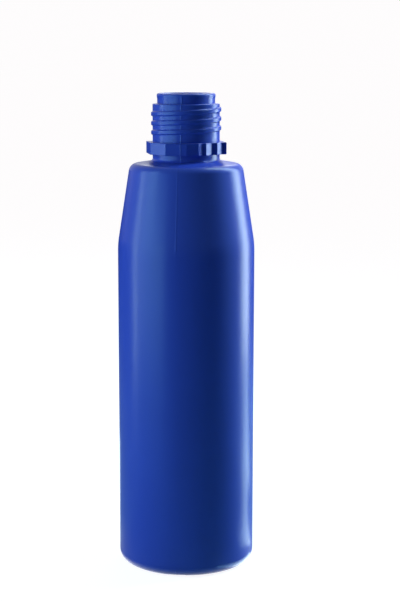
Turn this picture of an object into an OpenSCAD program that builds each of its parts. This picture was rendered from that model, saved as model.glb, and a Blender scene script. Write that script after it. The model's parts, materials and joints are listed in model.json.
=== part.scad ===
// Blow-moulded bottle with an open screw neck. Millimetres. It stands on Z = 0 with its axis on Z.
// The mould parts on the YZ plane, so the parting line runs up the front (-Y) and the back.

/* [Body] */
// Outer diameter of the straight body
body_d = 63.4; // [54:0.1:76]
// Wall thickness of the body and shoulder
body_wall = 1.2; // [0.8:0.1:2]
// Height at which the sides start to lean in
waist_z = 151.6; // [130:0.1:165]
// Radius of the soft bend at that height
waist_r = 38; // [10:1:60]
// Radius of the rounded foot
foot_r = 5.4; // [3:0.1:8]

/* [Base] */
// Wall thickness of the base
base_wall = 1.6; // [1:0.1:2.4]
// Width of the flat ring that the bottle stands on
stand_w = 2.4; // [1:0.1:5]
// Rise of the base inside the standing ring
rise_h = 3.2; // [1:0.1:6]
// Width of the channel across the standing ring at the parting plane
channel_w = 8; // [3:0.1:14]
// Depth of the channel
channel_h = 0.8; // [0.3:0.1:1]
// Length of the pinched seam under the base
pinch_l = 36; // [20:1:44]
// Width of the pinched seam
pinch_w = 1.2; // [0.6:0.1:2.4]
// Height of the pinched seam below the base
pinch_h = 0.5; // [0.2:0.1:0.8]

/* [Shoulder] */
// Lean of the sides above the waist, in degrees from vertical
side_lean = 8.8; // [4:0.1:11]
// Height of the shoulder where the neck rises from it
shoulder_z = 190; // [175:0.1:205]
// Slope of the shoulder's top, in degrees from level
top_slope = 9; // [0:0.5:12]
// Radius of the shoulder's corner
shoulder_r = 3.8; // [2:0.1:6]
// Radius of the fillet between the shoulder and the neck
fillet_r = 1.4; // [0.2:0.1:1.5]

/* [Neck] */
// Diameter of the neck, which is also the root of the thread
neck_d = 30.8; // [29:0.1:32]
// Wall thickness of the threaded neck
neck_wall = 2.2; // [1.5:0.1:2.6]
// Height of the step above the end of the thread
step_gap = 1.5; // [1.4:0.1:4]
// Radius of the step's edge
step_r = 0.4; // [0.1:0.1:0.8]
// Diameter of the spout above the step
spout_d = 26.5; // [25:0.1:28]
// Height of the spout above the step
spout_h = 4.8; // [2.5:0.1:8]
// Diameter of the lip at the rim
lip_d = 27.1; // [26.5:0.1:28.5]
// Height of the rounded lip
lip_h = 2; // [0.6:0.1:2]
// Diameter of the bore in the mouth
bore_d = 22.8; // [20:0.1:24]
// Depth of the straight bore, from the rim
bore_h = 7; // [4:0.1:12]
// Radius of the rim's inner edge
rim_r = 0.7; // [0.1:0.1:0.9]

/* [Thread] */
// Diameter over the thread
thread_d = 32.2; // [31.6:0.1:34]
// Rise of the thread in one turn
pitch = 4.233; // [3.2:0.001:6]
// Number of turns
turns = 3; // [1:0.5:4]
// Width of the ridge at the neck
ridge_w = 2.6; // [1.2:0.1:2.8]
// Depth to which the ridge's foot is sunk in the neck
ridge_foot = 0.5; // [0.2:0.05:1]
// Angle over which the ridge fades out at each end, in degrees
fade_angle = 36; // [15:1:90]
// Height of the thread's start above the ring
thread_gap = 3.15; // [1.5:0.05:5]
// Angle at which the thread starts, in degrees from +X
thread_angle = 98; // [0:1:359]

/* [Ratchet ring] */
// Height of the neck between the shoulder and the ring
ring_gap = 3.1; // [2:0.1:8]
// Height of the ring
ring_h = 5.5; // [3:0.1:8]
// Diameter over the longest teeth
ring_d = 38.7; // [36.5:0.1:40]
// Depth of the deepest gap between teeth
tooth_h = 3.8; // [1:0.1:3.9]
// Radius of the ring's upper edge
ring_top_r = 0.5; // [0.2:0.1:1]
// Radius of the ring's lower edge
ring_foot_r = 0.7; // [0.3:0.1:1.8]

/* [Hidden] */
$fn = 96;
eps = 0.01;
arc_steps = 14;
// Height over which the spout widens to its lip, as a share of the lip's own height
flare_share = 1.2;

body_rad = body_d / 2;
neck_rad = neck_d / 2;
bore_rad = bore_d / 2;
stand_rad = body_rad - foot_r;
dome_rad = stand_rad - stand_w;

// Heights up the neck, each from the one below it
ring_z = shoulder_z + ring_gap;
ring_top_z = ring_z + ring_h;
thread_z = ring_top_z + thread_gap;
step_z = thread_z + turns * pitch + step_gap;
rim_z = step_z + spout_h;

// Centre of the soft bend, and of the shoulder's corner, which touches the leaning side and the top
bend_c = [body_rad - waist_r, waist_z - waist_r * tan(side_lean / 2)];
side_n = [cos(side_lean), sin(side_lean)];
top_n = [sin(top_slope), cos(top_slope)];
side_d = bend_c * side_n + waist_r - shoulder_r;
top_d = [neck_rad, shoulder_z] * top_n - shoulder_r;
corner_det = side_n[0] * top_n[1] - side_n[1] * top_n[0];
corner_c = [side_d * top_n[1] - top_d * side_n[1], top_d * side_n[0] - side_d * top_n[0]] / corner_det;

// Plan of half the ratchet ring between its parting lines: [angle from +X, share of tooth_h below the tips].
// Faces that catch the cap look clockwise, and none of them hooks the mould half, which draws along X.
half_plan = [
    [-90, 0.48], [-81, 0.44], [-62.5, 0.54], [-54, 0.86], [-49, 0.66], [-33.5, 1], [-25.5, 0.6], [-12, 0.5],
    [-8.5, 0], [35.5, 0.26], [68.5, 0.15]
];

function polar(r, a) = r * [cos(a), sin(a)];
function arc(c, r, a0, a1) = [for (i = [0 : arc_steps]) c + polar(r, a0 + (a1 - a0) * i / arc_steps)];
// Rise of the base at a radius, level at the standing ring and in the middle
function rise(r) = rise_h * (1 + cos(180 * r / dome_rad)) / 2;
function dome(lift) = [for (i = [0 : arc_steps]) let (r = dome_rad * i / arc_steps) [r, lift + rise(r)]];

// Outside from the foot to the shoulder's corner, or the same line moved in by a wall
function side_line(wall, floor_wall) = concat(
    [for (i = [0 : arc_steps]) let (a = -90 + 90 * i / arc_steps)
        [stand_rad + (foot_r - wall) * cos(a), foot_r + (foot_r - floor_wall) * sin(a)]],
    arc(bend_c, waist_r - wall, 0, side_lean),
    arc(corner_c, shoulder_r - wall, side_lean, 90 - top_slope)
);

// Level at which a line moved in from the shoulder's top by a wall meets a radius
function top_level(r, wall) = shoulder_z - (r - neck_rad) * tan(top_slope) - wall / cos(top_slope);

module outer_section() {
    fillet_c = [neck_rad + fillet_r, top_level(neck_rad + fillet_r, 0) + fillet_r];
    polygon(concat(
        dome(0),
        side_line(0, 0),
        arc(fillet_c, fillet_r, 270, 180),
        arc([neck_rad - step_r, step_z - step_r], step_r, 0, 90),
        [[spout_d / 2, step_z], [spout_d / 2, rim_z - flare_share * lip_h]],
        arc([lip_d / 2 - lip_h / 2, rim_z - lip_h / 2], lip_h / 2, -20, 90),
        [[0, rim_z]]
    ));
}

module inner_section() {
    inner_rad = neck_rad - neck_wall;
    cone_z = rim_z - bore_h;
    polygon(concat(
        dome(base_wall),
        side_line(body_wall, base_wall),
        [[inner_rad + fillet_r, top_level(inner_rad + fillet_r, body_wall)],
         [inner_rad, top_level(inner_rad, body_wall) + fillet_r],
         [inner_rad, cone_z - (inner_rad - bore_rad)],
         [bore_rad, cone_z], [bore_rad, rim_z - rim_r]],
        arc([bore_rad + rim_r, rim_z - rim_r], rim_r, 180, 90),
        [[bore_rad + rim_r, rim_z + 1], [0, rim_z + 1]]
    ));
}

// Single right-hand ridge whose foot is sunk in the neck, and which narrows and sinks away at both ends
module thread() {
    edge_depth = ridge_foot / 10;
    ridge_h = (thread_d - neck_d) / 2 + edge_depth;
    // Outline of the ridge: [share of its half width, share of its height]
    outline = [[-1, 0], [-0.76, 0.55], [-0.5, 1], [0.5, 1], [0.76, 0.55], [1, 0]];
    steps = round(turns * 40);
    corners = len(outline) + 2;
    function along(i) = 360 * turns * i / steps;
    function fade(a) = sin(90 * min(1, a / fade_angle, (turns * 360 - a) / fade_angle));
    // Corners of the ridge at one step, as [radius, height]
    function section(i) = let (
        full = fade(along(i)),
        half_w = ridge_w / 2 * (1 + full) / 2,
        z = thread_z + pitch * along(i) / 360,
        foot_rad = neck_rad - ridge_foot,
        edge_rad = neck_rad - edge_depth
    ) concat(
        [[foot_rad, z - half_w]],
        [for (p = outline) [edge_rad + ridge_h * full * p[1], z + half_w * p[0]]],
        [[foot_rad, z + half_w]]
    );
    points = [for (i = [0 : steps]) for (p = section(i)) concat(polar(p[0], thread_angle + along(i)), p[1])];
    sides = [for (i = [0 : steps - 1]) for (j = [0 : corners - 1])
        let (a = i * corners + j, b = i * corners + (j + 1) % corners)
        each [[a, b, a + corners], [b, b + corners, a + corners]]];
    start_face = [for (j = [corners - 1 : -1 : 0]) j];
    end_face = [for (j = [0 : corners - 1]) steps * corners + j];
    polyhedron(points, concat([start_face, end_face], sides), convexity = 8);
}

module ratchet_ring() {
    tip_rad = ring_d / 2;
    plan = [for (turn = [0, 180]) for (p = half_plan) polar(tip_rad - p[1] * tooth_h, turn + p[0])];
    inside = neck_rad - neck_wall / 2;
    intersection() {
        translate([0, 0, ring_z - eps]) linear_extrude(ring_h + 2 * eps) polygon(plan);
        rotate_extrude() polygon(concat(
            [[inside, ring_z]],
            arc([tip_rad - ring_foot_r, ring_z + ring_foot_r], ring_foot_r, -90, 0),
            arc([tip_rad - ring_top_r, ring_top_z - ring_top_r], ring_top_r, 0, 90),
            [[inside, ring_top_z]]
        ));
    }
}

// Groove that the mould's pinch leaves across the standing ring
module channel() {
    translate([-channel_w / 2, -body_d, -1]) cube([channel_w, 2 * body_d, 1 + channel_h]);
}

// Welded seam under the middle of the base, which dies out towards the standing ring
module pinch_seam() {
    half = pinch_l / 2;
    rotate([90, 0, 90]) translate([0, 0, -pinch_w / 2]) linear_extrude(pinch_w) polygon(concat(
        [for (i = [-arc_steps : arc_steps]) let (y = half * i / arc_steps)
            [y, rise(abs(y)) * (1 - pinch_h / rise_h)]],
        [for (y = [half, 0, -half]) [y, rise(abs(y)) + base_wall / 2]]
    ));
}

module bottle() {
    color("mediumblue") difference() {
        union() {
            rotate_extrude() outer_section();
            pinch_seam();
            ratchet_ring();
            thread();
        }
        rotate_extrude() inner_section();
        channel();
    }
}

bottle();
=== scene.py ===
import json
import math

import bmesh
import bpy
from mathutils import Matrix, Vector


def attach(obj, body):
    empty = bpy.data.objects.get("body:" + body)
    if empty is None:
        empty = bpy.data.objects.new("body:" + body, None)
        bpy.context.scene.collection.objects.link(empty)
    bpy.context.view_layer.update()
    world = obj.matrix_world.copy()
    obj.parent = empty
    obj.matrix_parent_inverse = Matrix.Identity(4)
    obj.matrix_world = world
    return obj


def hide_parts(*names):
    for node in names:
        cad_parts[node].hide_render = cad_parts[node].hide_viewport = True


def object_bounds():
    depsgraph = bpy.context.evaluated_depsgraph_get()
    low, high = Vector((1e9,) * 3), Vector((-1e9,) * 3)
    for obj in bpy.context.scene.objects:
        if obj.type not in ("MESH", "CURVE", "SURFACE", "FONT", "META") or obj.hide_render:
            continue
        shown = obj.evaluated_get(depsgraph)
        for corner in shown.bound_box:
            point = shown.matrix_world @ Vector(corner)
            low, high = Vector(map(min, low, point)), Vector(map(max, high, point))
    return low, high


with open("model.json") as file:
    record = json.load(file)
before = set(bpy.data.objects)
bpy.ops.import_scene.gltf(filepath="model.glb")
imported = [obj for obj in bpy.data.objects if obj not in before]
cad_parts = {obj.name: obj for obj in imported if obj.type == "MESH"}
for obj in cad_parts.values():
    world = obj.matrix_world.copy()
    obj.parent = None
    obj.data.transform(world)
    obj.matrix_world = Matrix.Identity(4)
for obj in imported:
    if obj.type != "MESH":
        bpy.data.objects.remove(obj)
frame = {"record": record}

cadLow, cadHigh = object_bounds()
mm = 0.001                      # the sizes below are in millimetres
tiny = 0.01 * mm                # two heights or radii this close count as the same


# Small helpers

def startClean():
    bpy.ops.object.select_all(action="DESELECT")


def finishEdit():
    bpy.ops.object.mode_set(mode="OBJECT")


def pick(kind, test):
    # selects the vertices, edges or faces that pass a test, and nothing else
    bpy.ops.mesh.select_mode(type=kind)
    bpy.ops.mesh.select_all(action="DESELECT")
    mesh = bmesh.from_edit_mesh(bpy.context.object.data)
    for item in {"VERT": mesh.verts, "EDGE": mesh.edges, "FACE": mesh.faces}[kind]:
        if test(item):
            item.select_set(True)
    mesh.select_flush_mode()
    bmesh.update_edit_mesh(bpy.context.object.data)


def radiusOf(point):
    return math.hypot(point.x, point.y)


def onRing(edge, radius, height):
    # true for an edge that lies along the ring of that radius and height
    return all(
        abs(v.co.z - height) < tiny and abs(radiusOf(v.co) - radius) < tiny for v in edge.verts
    )


def applyModifier(piece, kind, **settings):
    bpy.context.view_layer.objects.active = piece
    modifier = piece.modifiers.new(kind.title(), kind)
    for name, value in settings.items():
        setattr(modifier, name, value)
    bpy.ops.object.modifier_apply(modifier=modifier.name)


def addNode(tree, kind, inputs=(), **settings):
    # adds a shader node, sets its fields, and fills its inputs by name or number
    node = tree.nodes.new(kind)
    for name, value in settings.items():
        setattr(node, name, value)
    for name, value in dict(inputs).items():
        if isinstance(value, bpy.types.NodeSocket):
            tree.links.new(value, node.inputs[name])
        else:
            node.inputs[name].default_value = value
    return node


# Bottle: body, shoulder, neck and the inside, raised ring by ring from the middle of the base

bottle = {
    "segments": 256,
    "bodyWall": 1.2,
    "baseWall": 1.6,
    "footRadius": 5.4,       # rounding of the foot
    "standWidth": 2.4,       # flat ring that the bottle stands on
    "baseRise": 3.2,         # how far the base is pushed up inside that ring
    "baseRings": 12,
    "waistHeight": 151.6,    # where the sides start to lean in
    "waistRadius": 38,       # soft bend there
    "sideLean": 8.8,         # degrees from vertical
    "shoulderHeight": 190,   # where the neck rises from the shoulder
    "shoulderSlope": 9,      # degrees from level
    "shoulderRadius": 3.8,
    "neckFillet": 1.4,
    "neckRadius": 15.4,
    "neckWall": 2.2,
    "stepBelowRim": 4.8,     # ledge between the threaded neck and the spout
    "stepRounding": 0.4,
    "spoutRadius": 13.25,
    "spoutFillet": 0.25,
    "lipRadius": 13.72,      # before its edge is rounded
    "lipFlare": 2.6,         # height over which the spout widens to its lip
    "lipRounding": 1.1,
    "boreDepth": 7,
    "boreRounding": 0.7,
    "threadZone": [199.6, 215.4],   # heights between which the wall is divided finely
    "threadRows": 106,
    "smoothAngle": 35,              # faces that meet at fewer degrees are shaded as one
}
bodyRadius = math.floor(100 * min(cadHigh.x, cadHigh.y) / mm) / 100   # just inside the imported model
rimHeight = round(cadHigh.z / mm, 3)
boreRadius = next(m for m in frame["record"]["mounts"] if m["name"] == "mouth")["dims"]["r_mm"]
standRadius = bodyRadius - bottle["footRadius"]
domeRadius = standRadius - bottle["standWidth"]


def domeRise(radius):
    return bottle["baseRise"] * (1 + math.cos(math.pi * min(radius / domeRadius, 1))) / 2


def bodyCorners(wall):
    # waist and shoulder corners before rounding, of the outside or, with a wall given, of the inside
    lean, slope = math.radians(bottle["sideLean"]), math.radians(bottle["shoulderSlope"])
    side = Vector((math.cos(lean), math.sin(lean)))
    top = Vector((math.sin(slope), math.cos(slope)))
    sideReach = side.dot(Vector((bodyRadius, bottle["waistHeight"]))) - wall
    topReach = top.dot(Vector((bottle["neckRadius"], bottle["shoulderHeight"]))) - wall
    turn = side.x * top.y - side.y * top.x
    waist = (bodyRadius - wall, bottle["waistHeight"] - wall * math.tan(lean / 2))
    shoulder = (
        (sideReach * top.y - topReach * side.y) / turn,
        (topReach * side.x - sideReach * top.x) / turn,
    )
    return waist, shoulder


def shoulderLevel(radius, wall=0):
    slope = math.radians(bottle["shoulderSlope"])
    return (
        bottle["shoulderHeight"]
        - (radius - bottle["neckRadius"]) * math.tan(slope)
        - wall / math.cos(slope)
    )


def outsideRings():
    # radius, height, rounding radius and rounding steps of each ring, from the foot to the rim
    waist, shoulder = bodyCorners(0)
    neck, spout = bottle["neckRadius"], bottle["spoutRadius"]
    stepHeight = rimHeight - bottle["stepBelowRim"]
    zoneLow, zoneHigh = bottle["threadZone"]
    return [
        (bodyRadius, 0, bottle["footRadius"], 14),
        (*waist, bottle["waistRadius"], 10),
        (*shoulder, bottle["shoulderRadius"], 16),
        (neck, shoulderLevel(neck), bottle["neckFillet"], 5),
        (neck, zoneLow, 0, 0),
        (neck, zoneHigh, 0, 0),
        (neck, stepHeight, bottle["stepRounding"], 5),
        (spout, stepHeight, bottle["spoutFillet"], 3),
        (spout, rimHeight - bottle["lipFlare"], 2, 3),
        (bottle["lipRadius"], rimHeight, bottle["lipRounding"], 6),
    ]


def insideRings():
    # the same for the inside, from the rim down to the foot
    wall = bottle["bodyWall"]
    waist, shoulder = bodyCorners(wall)
    inner = bottle["neckRadius"] - bottle["neckWall"]
    coneHeight = rimHeight - bottle["boreDepth"]
    return [
        (boreRadius, rimHeight, bottle["boreRounding"], 5),
        (boreRadius, coneHeight, 0, 0),
        (inner, coneHeight - (inner - boreRadius), 0, 0),
        (inner, shoulderLevel(inner, wall), bottle["neckFillet"], 4),
        (*shoulder, bottle["shoulderRadius"] - wall, 10),
        (*waist, bottle["waistRadius"] - wall, 6),
        (bodyRadius - wall, bottle["baseWall"], bottle["footRadius"] - wall, 8),
    ]


def extrudeRing(last, radius, height):
    # raises the open end of the wall to the next ring
    bpy.ops.mesh.extrude_region_move(
        TRANSFORM_OT_translate={"value": (0, 0, (height - last[1]) * mm)}
    )
    scale = radius / last[0]
    bpy.ops.transform.resize(value=(scale, scale, 1), center_override=(0, 0, height * mm))
    return radius, height


def roundRing(rings, place):
    # rounds one ring between its neighbours with an arc of its own radius
    radius, height, rounding, steps = rings[place]
    before = Vector((rings[place - 1][0] - radius, rings[place - 1][1] - height))
    after = Vector((rings[place + 1][0] - radius, rings[place + 1][1] - height))
    turn = math.pi - before.angle(after)
    pick("EDGE", lambda edge: onRing(edge, radius * mm, height * mm))
    bpy.ops.mesh.bevel(
        offset=rounding * math.tan(turn / 2) * mm, offset_type="OFFSET", segments=steps,
        profile=0.5, affect="EDGES", clamp_overlap=False,
    )


def crossesThreadZone(edge):
    # true for an upright edge of the outside that spans the whole thread zone
    low, high = (height * mm for height in bottle["threadZone"])
    middleOfWall = (bottle["neckRadius"] - bottle["neckWall"] / 2) * mm
    levels = {round((v.co.z - low) / tiny) for v in edge.verts}
    outside = all(radiusOf(v.co) > middleOfWall for v in edge.verts)
    return outside and levels == {0, round((high - low) / tiny)}


def makeShell():
    startClean()
    ringStep = domeRadius / bottle["baseRings"]
    bpy.ops.mesh.primitive_circle_add(
        vertices=bottle["segments"], radius=ringStep * mm, fill_type="TRIFAN", enter_editmode=True
    )
    shell = bpy.context.object
    shell.name = "bottleShell"
    bpy.ops.transform.translate(value=(0, 0, domeRise(ringStep) * mm))
    bpy.ops.mesh.region_to_loop()
    last = (ringStep, domeRise(ringStep))
    for i in range(2, bottle["baseRings"] + 1):
        last = extrudeRing(last, i * ringStep, domeRise(i * ringStep))
    rings = [(domeRadius, 0, 0, 0), *outsideRings(), *insideRings()]
    rings.append((domeRadius, bottle["baseWall"], 0, 0))
    for radius, height, rounding, steps in rings[1:]:
        last = extrudeRing(last, radius, height)
    for i in range(bottle["baseRings"] - 1, 0, -1):
        last = extrudeRing(last, i * ringStep, bottle["baseWall"] + domeRise(i * ringStep))
    bpy.ops.mesh.edge_face_add()   # closes the floor inside
    bpy.ops.mesh.poke()
    for place in range(len(rings) - 2, 0, -1):   # the inside first, before rings near it are rounded
        if rings[place][2]:
            roundRing(rings, place)
    pick("EDGE", crossesThreadZone)
    bpy.ops.mesh.subdivide(number_cuts=bottle["threadRows"])
    bpy.ops.mesh.select_all(action="SELECT")
    bpy.ops.mesh.normals_make_consistent(inside=False)
    finishEdit()
    return shell


# Ratchet ring below the thread: an outline of teeth, cut to a rounded disc and joined to the neck

ratchet = {
    "radius": 19.35,        # over the longest teeth
    "height": 5.5,
    "aboveShoulder": 3.1,
    "toothDepth": 3.8,
    "topRounding": 0.5,
    "footRounding": 0.7,
    "edgeRounding": 0.22,   # on every tooth
    "holeRadius": 14.3,     # hidden in the neck's wall
    "spare": 0.02,          # keeps the disc's flat faces off the ring's
    # half of the outline: angle from +X in degrees, and share of toothDepth below the tips
    "halfPlan": [
        (-90, 0.48), (-81, 0.44), (-62.5, 0.54), (-54, 0.86), (-49, 0.66), (-33.5, 1), (-25.5, 0.6),
        (-12, 0.5), (-8.5, 0), (35.5, 0.26), (68.5, 0.15),
    ],
}


def makeRatchetRing():
    startClean()
    low = (bottle["shoulderHeight"] + ratchet["aboveShoulder"]) * mm
    height = ratchet["height"] * mm
    corners = []
    for turn in (0, 180):
        for angle, share in ratchet["halfPlan"]:
            reach = (ratchet["radius"] - share * ratchet["toothDepth"]) * mm
            way = math.radians(turn + angle)
            corners.append(Vector((reach * math.cos(way), reach * math.sin(way), low)))
    bpy.ops.mesh.primitive_plane_add(size=1 * mm, enter_editmode=True)
    bpy.ops.mesh.select_mode(type="VERT")
    bpy.ops.mesh.merge(type="CENTER")
    bpy.ops.transform.translate(value=corners[0])
    for here, there in zip(corners, corners[1:]):
        bpy.ops.mesh.extrude_region_move(TRANSFORM_OT_translate={"value": there - here})
    bpy.ops.mesh.select_all(action="SELECT")
    bpy.ops.mesh.edge_face_add()
    bpy.ops.mesh.extrude_region_move(TRANSFORM_OT_translate={"value": (0, 0, height)})
    bpy.ops.mesh.select_all(action="SELECT")
    bpy.ops.mesh.normals_make_consistent(inside=False)
    bpy.ops.mesh.bevel(offset=ratchet["edgeRounding"] * mm, segments=3, profile=0.5, affect="EDGES")
    finishEdit()
    ring = bpy.context.object
    ring.name = "ratchetRing"

    startClean()
    spare = ratchet["spare"] * mm
    bpy.ops.mesh.primitive_cylinder_add(
        vertices=bottle["segments"], radius=ratchet["radius"] * mm, depth=height + 2 * spare,
        location=(0, 0, low + height / 2), enter_editmode=True,
    )
    disc = bpy.context.object
    pick("FACE", lambda face: abs(face.normal.z) > 0.9)
    bpy.ops.mesh.inset(thickness=(ratchet["radius"] - ratchet["holeRadius"]) * mm)
    bpy.ops.mesh.bridge_edge_loops()
    half = height / 2 + spare
    for side, rounding in ((1, ratchet["topRounding"]), (-1, ratchet["footRounding"])):
        pick("EDGE", lambda edge: onRing(edge, ratchet["radius"] * mm, side * half))
        bpy.ops.mesh.bevel(offset=rounding * mm, segments=6, profile=0.5, affect="EDGES")
    bpy.ops.mesh.select_all(action="SELECT")
    bpy.ops.mesh.normals_make_consistent(inside=False)
    finishEdit()
    bpy.ops.object.transform_apply(location=True, rotation=True, scale=True)
    startClean()
    applyModifier(ring, "BOOLEAN", operation="INTERSECT", object=disc, solver="EXACT")
    bpy.data.objects.remove(disc)
    return ring


# Raised lines: the thread, the parting line and the pinched seam under the base

relief = {
    "ridgeHeight": 0.7,
    "ridgeWidth": 2.6,
    "pitch": 4.233,
    "turns": 3,
    "startAngle": 98,         # degrees from +X
    "startHeight": 201.75,
    "fadeAngle": 36,
    "crestShare": 0.5,        # share of the ridge's half width that is flat on top
    "partingHeight": 0.06,
    "neckPartingHeight": 0.13,
    "ringPartingHeight": 0.21,
    "partingHalfWidth": 0.12,
    "partingFoot": 0.3,
    "seamLength": 36,
    "seamHeight": 0.5,
    "seamHalfWidth": 0.45,
    "seamFoot": 0.65,
    "seamFadeShare": 0.25,    # share of the seam's half length over which each end fades out
    "baseZone": 3.5,          # the underside of the base lies below this height
}


def threadHeight(point):
    # height of the thread's ridge above the neck, in millimetres
    angle = math.degrees(math.atan2(point.y, point.x))
    sweep = 360 * relief["turns"]
    best = 0
    along = (angle - relief["startAngle"]) % 360
    while along < sweep:
        share = min(1, along / relief["fadeAngle"], (sweep - along) / relief["fadeAngle"])
        full = math.sin(math.pi / 2 * share)
        halfWidth = relief["ridgeWidth"] / 2 * (1 + full) / 2
        centre = relief["startHeight"] + relief["pitch"] * along / 360
        off = abs(point.z / mm - centre) / halfWidth
        if off < 1:
            slope = max(0, off - relief["crestShare"]) / (1 - relief["crestShare"])
            best = max(best, relief["ridgeHeight"] * full * math.cos(math.pi / 2 * slope) ** 2)
        along += 360
    return best


def bandHeight(offset, flat, foot, height):
    # a raised band with sloping sides, by the distance from its middle
    return height * min(1, max(0, (foot - abs(offset)) / (foot - flat)))


def reliefHeight(vertex):
    point, normal = vertex.co, vertex.normal
    radius = radiusOf(point)
    outward = (point.x * normal.x + point.y * normal.y) / max(radius, tiny)
    if point.z < relief["baseZone"] * mm and normal.z < -0.3 and radius < domeRadius * mm:
        left = 1 - 2 * abs(point.y) / mm / relief["seamLength"]
        raised = relief["seamHeight"] * min(1, max(0, left / relief["seamFadeShare"]))
        return bandHeight(point.x / mm, relief["seamHalfWidth"], relief["seamFoot"], raised)
    if outward < 0.1 and (normal.z < 0.3 or point.z < bottle["waistHeight"] * mm):
        return 0   # the inside stays plain
    if radius > (bodyRadius - 0.1) * mm or point.z > (rimHeight - bottle["lipRounding"]) * mm:
        return 0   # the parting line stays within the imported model
    raised = relief["partingHeight"]
    if radius < (ratchet["radius"] + 1) * mm and point.z > bottle["shoulderHeight"] * mm:
        onRatchet = radius > (bottle["neckRadius"] + 1) * mm
        raised = relief["ringPartingHeight" if onRatchet else "neckPartingHeight"]
    height = bandHeight(point.x / mm, relief["partingHalfWidth"], relief["partingFoot"], raised)
    zoneLow, zoneHigh = bottle["threadZone"]
    if zoneLow * mm < point.z < zoneHigh * mm and radius > (bottle["neckRadius"] - 0.1) * mm:
        height = max(height, threadHeight(point))
    return height


def cutAlong(places, test):
    # cuts the picked faces by upright planes that stand across X
    for x in places:
        pick("FACE", test)
        bpy.ops.mesh.bisect(plane_co=(x * mm, 0, 0), plane_no=(1, 0, 0))


def raiseRelief(shell):
    startClean()
    bpy.context.view_layer.objects.active = shell
    shell.select_set(True)
    bpy.ops.object.mode_set(mode="EDIT")
    edges = [s * relief[k] for k in ("partingHalfWidth", "partingFoot") for s in (-1, 1)]
    cutAlong(edges, lambda face: True)
    low = (domeRadius + 0.1) * mm
    edges = [s * relief[k] for k in ("seamHalfWidth", "seamFoot") for s in (-1, 1)]
    zone = relief["baseZone"] * mm
    cutAlong(edges, lambda face: face.normal.z < 0 and face.calc_center_median().z < zone
             and radiusOf(face.calc_center_median()) < low)
    finishEdit()
    group = shell.vertex_groups.new(name="relief")
    for vertex in shell.data.vertices:
        height = reliefHeight(vertex)
        if height > 0:
            group.add([vertex.index], height / relief["ridgeHeight"], "REPLACE")
    applyModifier(
        shell, "DISPLACE", strength=relief["ridgeHeight"] * mm, mid_level=0, direction="NORMAL",
        vertex_group="relief",
    )
    shell.vertex_groups.clear()


# Notch that the mould's pinch leaves across the standing ring

notch = {
    "width": 8,
    "height": 0.8,
    "cutBelow": 1.2,   # faces below this height are cut along the notch's sides
}


def pressNotch(shell):
    bpy.ops.object.mode_set(mode="EDIT")
    half, top = notch["width"] / 2, notch["height"] * mm
    cutAlong((-half, half), lambda face: face.calc_center_median().z < notch["cutBelow"] * mm)
    pick("VERT", lambda v: abs(v.co.x) < half * mm - tiny and v.co.z < top)
    bpy.ops.transform.resize(value=(1, 1, 0), center_override=(0, 0, top))
    finishEdit()


print("Stage 1: raising the bottle's wall")
bottleShell = makeShell()

print("Stage 2: joining the ratchet ring")
ratchetRing = makeRatchetRing()
startClean()
applyModifier(bottleShell, "BOOLEAN", operation="UNION", object=ratchetRing, solver="EXACT")
bpy.data.objects.remove(ratchetRing)

print("Stage 3: raising the thread and the seams")
raiseRelief(bottleShell)
pressNotch(bottleShell)
startClean()
bottleShell.select_set(True)
bpy.ops.object.shade_smooth_by_angle(angle=math.radians(bottle["smoothAngle"]))
applyModifier(bottleShell, "WEIGHTED_NORMAL", keep_sharp=True)
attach(bottleShell, "root")
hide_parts("bottle")


# Satin blue polyethylene

plastic = {
    "colour": (0.0188, 0.0565, 0.45, 1),
    "paleColour": (0.0206, 0.0617, 0.49, 1),
    "roughness": (0.27, 0.3),
    "shine": 0.22,           # 0.5 is a bare plastic's full gloss
    "shineColour": (0.42, 1, 1, 1),
    "cloudScale": 35,        # soft clouds in the colour, per metre
    "waveScale": 55,         # slow waves of the blown wall
    "waveDepth": 0.00003,
    "grainScale": 1600,      # fine grain of the mould
    "grainDepth": 0.000006,
}


def makePlastic():
    material = bpy.data.materials.new("satinBluePlastic")
    material.use_nodes = True
    tree = material.node_tree
    shader = tree.nodes["Principled BSDF"]
    place = addNode(tree, "ShaderNodeTexCoord").outputs["Object"]
    clouds = addNode(tree, "ShaderNodeTexNoise", {
        "Vector": place, "Scale": plastic["cloudScale"], "Detail": 3}).outputs["Fac"]
    colour = addNode(tree, "ShaderNodeMix", {
        0: clouds, 6: plastic["colour"], 7: plastic["paleColour"]}, data_type="RGBA")
    tree.links.new(colour.outputs[2], shader.inputs["Base Color"])
    grain = addNode(tree, "ShaderNodeTexNoise", {
        "Vector": place, "Scale": plastic["grainScale"], "Detail": 2}).outputs["Fac"]
    low, high = plastic["roughness"]
    rough = addNode(tree, "ShaderNodeMapRange", {"Value": clouds, "To Min": low, "To Max": high})
    tree.links.new(rough.outputs["Result"], shader.inputs["Roughness"])
    waves = addNode(tree, "ShaderNodeTexNoise", {
        "Vector": place, "Scale": plastic["waveScale"], "Detail": 1}).outputs["Fac"]
    wavy = addNode(tree, "ShaderNodeBump", {"Height": waves, "Distance": plastic["waveDepth"]})
    fine = addNode(tree, "ShaderNodeBump", {
        "Height": grain, "Distance": plastic["grainDepth"], "Normal": wavy.outputs["Normal"]})
    tree.links.new(fine.outputs["Normal"], shader.inputs["Normal"])
    shader.inputs["Specular IOR Level"].default_value = plastic["shine"]
    shader.inputs["Specular Tint"].default_value = plastic["shineColour"]
    return material


print("Stage 4: giving the bottle its plastic")
bottleShell.data.materials.clear()
bottleShell.data.materials.append(makePlastic())


# Camera, at the photograph's angle and distance

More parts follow.
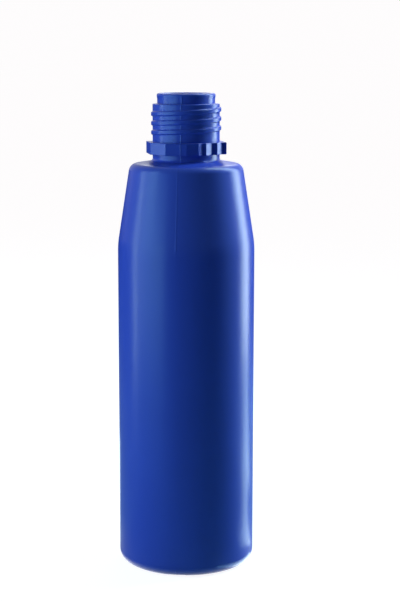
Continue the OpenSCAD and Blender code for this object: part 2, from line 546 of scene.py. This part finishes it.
photoCamera = {
    "lens": 91.15,
    "sensorWidth": 36,
    "azimuth": 8,          # degrees from the front, to the right
    "distance": 0.7031,    # metres, as are the next two
    "height": 0.2403,
    "sideStep": 0.00644,   # how far the lens stands to the right of the bottle's axis
    "pitch": 9.365,        # degrees downwards
    "roll": 0.06,
}
cameraAngle = math.radians(photoCamera["azimuth"])
towards = Vector((math.sin(cameraAngle), -math.cos(cameraAngle), 0))
rightward = Vector((-towards.y, towards.x, 0))


def placeCamera():
    startClean()
    where = towards * photoCamera["distance"] + rightward * photoCamera["sideStep"]
    where.z = photoCamera["height"]
    bpy.ops.object.camera_add(
        location=where,
        rotation=(math.radians(90 - photoCamera["pitch"]), 0, cameraAngle),
    )
    camera = bpy.context.object
    camera.rotation_euler.rotate_axis("Z", math.radians(photoCamera["roll"]))
    camera.data.lens = photoCamera["lens"]
    camera.data.sensor_width = photoCamera["sensorWidth"]
    bpy.context.scene.camera = camera


# Studio: soft lamps beside and behind the bottle, a white floor and a white backdrop

studio = {
    "lampDistance": 0.5,
    "lamps": [
        # name, angle from the camera, rightwards, then middle height, width, height, brightness, colour
        ("rightStrip", 115.5, 0.305, 0.19, 0.6, 12, (0.9, 0.96, 1)),
        ("rightFill", 76, 0.22, 0.2, 0.4, 0.6, (0.9, 1, 1)),
        ("leftSoft", -60, 0.14, 0.445, 0.25, 3.2, (1, 1, 1)),
        ("leftHigh", -68, 0.43, 0.18, 0.35, 4.6, (1, 1, 1)),
        ("leftStrip", -92, 0.21, 0.075, 0.42, 7.5, (1, 1, 1)),
        ("backHigh", 176, 0.53, 0.3, 0.3, 5, (1, 1, 1)),
    ],
    # tilted down at the shoulder: angle, distance, height, width, height of the lamp, brightness
    "rightHigh": (115.5, 0.34, 0.62, 0.22, 0.3, 10.5),
    # strips that lie on the floor and show in gloss alone
    "gleams": [
        # name, angle and distance of the middle, angle of the strip, length, width, brightness
        ("rightNearGleam", 108, 0.103, 124, 0.11, 0.03, 4.4),
        ("rightFarGleam", 118.5, 0.286, 124, 0.27, 0.085, 5.2),
        ("backGleam", -160, 0.14, -160, 0.2, 0.045, 3),
        ("rightFootGleam", 62, 0.0325, 152, 0.036, 0.006, 3.5),
    ],
    "floorSize": 40,
    "gleamColour": (0.8, 1, 1),
    "gleamHeight": 0.0006,
    "floorColour": (0.2, 0.33, 0.35, 1),
    "floorGlow": (0.92, 1),      # added to the floor for the camera alone, near the bottle and away
    "glowReach": (0.06, 0.32),   # distances between which that changes
    "backdropColour": (0.99, 0.975, 0.98, 1),
    "backdropShine": (0.6, 1),   # how much of the backdrop shows in the gloss, level and overhead
    "shineHeights": (0.4, 0.7),
    # painted reflection: glow on the floor that shows in the gloss alone, round the foot and further
    # out; its strength, and the distances between which it fades out
    "paintedFootReflection": (1.6, 0.031, 0.037),
    "paintedFloorReflection": (0.35, 0.038, 0.1),
}


def placeLamp(name, angle, distance, height, size, brightness, colour=(1, 1, 1), target=None):
    # a lamp that faces the bottle's axis, upright unless it is aimed at another height
    startClean()
    way = math.radians(angle)
    where = (towards * math.cos(way) + rightward * math.sin(way)) * distance
    drop = 0 if target is None else target - height
    facing = Vector((-where.x, -where.y, drop)).to_track_quat("-Z", "Y").to_euler()
    bpy.ops.object.light_add(type="AREA", location=(where.x, where.y, height), rotation=facing)
    lamp = bpy.context.object
    lamp.name = name
    lamp.data.shape = "RECTANGLE"
    lamp.data.size, lamp.data.size_y = size
    lamp.data.energy = math.pi * size[0] * size[1] * brightness
    lamp.data.color = colour
    lamp.visible_camera = False
    return lamp


def placeLamps():
    for name, angle, height, width, tall, brightness, colour in studio["lamps"]:
        placeLamp(name, angle, studio["lampDistance"], height, (width, tall), brightness, colour)
    angle, distance, height, width, tall, brightness = studio["rightHigh"]
    shoulder = bottle["shoulderHeight"] * mm
    placeLamp("rightHigh", angle, distance, height, (width, tall), brightness, target=shoulder)
    for name, angle, distance, heading, length, width, brightness in studio["gleams"]:
        size, colour = (length, width), studio["gleamColour"]
        lamp = placeLamp(name, angle, distance, studio["gleamHeight"], size, brightness, colour)
        lamp.rotation_euler = (math.pi, 0, cameraAngle + math.radians(heading - 90))
        lamp.visible_diffuse = False


def rampOf(tree, value, reach, outputs):
    # a value that goes from one output to the other over its reach
    ramp = addNode(tree, "ShaderNodeMapRange", {
        "Value": value, "From Min": reach[0], "From Max": reach[1],
        "To Min": outputs[0], "To Max": outputs[1]}, interpolation_type="SMOOTHSTEP")
    return ramp.outputs["Result"]


def calculate(tree, operation, *values, clamp=False):
    # one step of arithmetic on values or other nodes' outputs
    step = addNode(tree, "ShaderNodeMath", enumerate(values), operation=operation, use_clamp=clamp)
    return step.outputs["Value"]


def makeFloor():
    startClean()
    bpy.ops.mesh.primitive_plane_add(size=studio["floorSize"])
    floor = bpy.context.object
    floor.name = "studioFloor"
    material = bpy.data.materials.new("whiteFloor")
    material.use_nodes = True
    tree = material.node_tree
    tree.nodes.remove(tree.nodes["Principled BSDF"])
    place = addNode(tree, "ShaderNodeTexCoord").outputs["Object"]
    away = addNode(tree, "ShaderNodeVectorMath", {0: place}, operation="LENGTH").outputs["Value"]
    lightPath = addNode(tree, "ShaderNodeLightPath").outputs
    # painted reflection: the floor glows for glossy rays alone, brightly in a ring round the foot and
    # faintly further out, so the foot and lower wall show a pale reflected band
    paintedFootReflection, paintedFloorReflection = (
        rampOf(tree, away, (near, far), (strength, 0))
        for strength, near, far in (studio["paintedFootReflection"], studio["paintedFloorReflection"])
    )
    shine = calculate(tree, "ADD", paintedFootReflection, paintedFloorReflection)
    shine = calculate(tree, "MULTIPLY", lightPath["Is Glossy Ray"], shine)
    plain = rampOf(tree, away, studio["glowReach"], studio["floorGlow"])
    seen = calculate(tree, "MULTIPLY_ADD", lightPath["Is Camera Ray"], plain, shine)
    glow = addNode(tree, "ShaderNodeEmission", {"Color": studio["backdropColour"], "Strength": seen})
    paint = addNode(tree, "ShaderNodeBsdfDiffuse", {"Color": studio["floorColour"]})
    both = addNode(tree, "ShaderNodeAddShader", {0: glow.outputs[0], 1: paint.outputs[0]})
    tree.links.new(both.outputs[0], tree.nodes["Material Output"].inputs["Surface"])
    floor.data.materials.append(material)


def lightRoom():
    world = bpy.data.worlds.new("studioRoom")
    bpy.context.scene.world = world
    world.use_nodes = True
    tree = world.node_tree
    way = addNode(tree, "ShaderNodeTexCoord").outputs["Generated"]
    up = addNode(tree, "ShaderNodeSeparateXYZ", {"Vector": way}).outputs["Z"]
    shine = rampOf(tree, up, studio["shineHeights"], studio["backdropShine"])
    lightPath = addNode(tree, "ShaderNodeLightPath").outputs
    seen = calculate(
        tree, "MULTIPLY_ADD", lightPath["Is Glossy Ray"], shine, lightPath["Is Camera Ray"]
    )
    seen = calculate(tree, "ADD", seen, lightPath["Is Transmission Ray"], clamp=True)
    backdrop = tree.nodes["Background"]
    backdrop.inputs["Color"].default_value = studio["backdropColour"]
    tree.links.new(seen, backdrop.inputs["Strength"])


print("Stage 5: setting up the studio")
placeCamera()
placeLamps()
makeFloor()
lightRoom()
bpy.context.scene.view_settings.view_transform = "Standard"
